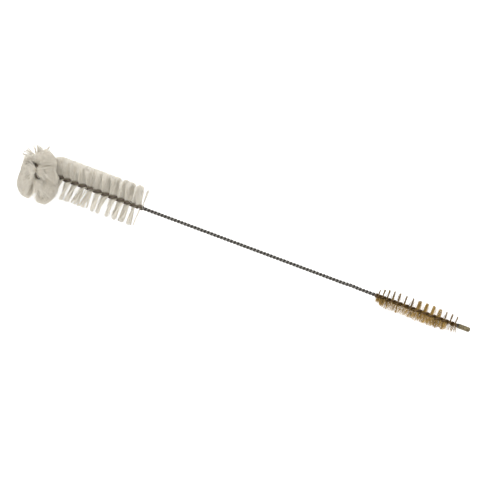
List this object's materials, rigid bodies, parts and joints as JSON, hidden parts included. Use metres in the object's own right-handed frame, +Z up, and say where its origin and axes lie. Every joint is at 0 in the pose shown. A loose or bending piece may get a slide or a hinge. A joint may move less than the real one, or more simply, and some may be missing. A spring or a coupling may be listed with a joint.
{
  "type": "twisted-wire cleaning brush",
  "caption": "Long twisted-wire cleaning brush with a nylon head ending in a ball tip at one end and a small brass-filament head with a round-nosed ferrule at the other.",
  "frame": {"origin": "middle of the brush's footprint on the table it rests on: centre of the bounding box in X and Y, at its lowest point", "axes": "+X along the brush from the nylon tip to the ferrule, +Z up; the stem runs down to the ferrule by about 2.5 degrees, because the brush rests on its large ball tip and its small brass head"},
  "size_m": [0.405, 0.0508, 0.0504],
  "materials": {
    "steel_wire": "drawn steel wire, dull grey with bright highlights",
    "nylon_filament": "warm off-white nylon filament, slightly translucent, satin",
    "brass_filament": "drawn brass filament, tarnished golden brown",
    "ferrule_brass": "plain brass cap, dull, darker at the nose"
  },
  "bodies": {
    "root": {"strand_a": "steel_wire", "strand_b": "steel_wire", "nylon_tip_tuft_01": "nylon_filament", "nylon_tip_tuft_02": "nylon_filament", "nylon_tip_tuft_03": "nylon_filament", "nylon_tip_tuft_04": "nylon_filament", "nylon_tip_tuft_05": "nylon_filament", "nylon_tip_tuft_06": "nylon_filament", "nylon_tip_tuft_07": "nylon_filament", "nylon_tip_tuft_08": "nylon_filament", "nylon_tip_tuft_09": "nylon_filament", "nylon_tuft_01": "nylon_filament", "nylon_tuft_02": "nylon_filament", "nylon_tuft_03": "nylon_filament", "nylon_tuft_04": "nylon_filament", "nylon_tuft_05": "nylon_filament", "nylon_tuft_06": "nylon_filament", "nylon_tuft_07": "nylon_filament", "nylon_tuft_08": "nylon_filament", "nylon_tuft_09": "nylon_filament", "nylon_tuft_10": "nylon_filament", "nylon_tuft_11": "nylon_filament", "nylon_tuft_12": "nylon_filament", "brass_tuft_01": "brass_filament", "brass_tuft_02": "brass_filament", "brass_tuft_03": "brass_filament", "brass_tuft_04": "brass_filament", "brass_tuft_05": "brass_filament", "brass_tuft_06": "brass_filament", "brass_tuft_07": "brass_filament", "brass_tuft_08": "brass_filament", "brass_tuft_09": "brass_filament", "brass_tuft_10": "brass_filament", "brass_tuft_11": "brass_filament", "brass_tuft_12": "brass_filament", "brass_tuft_13": "brass_filament", "brass_tuft_14": "brass_filament", "ferrule": "ferrule_brass"}
  },
  "joints": []
}
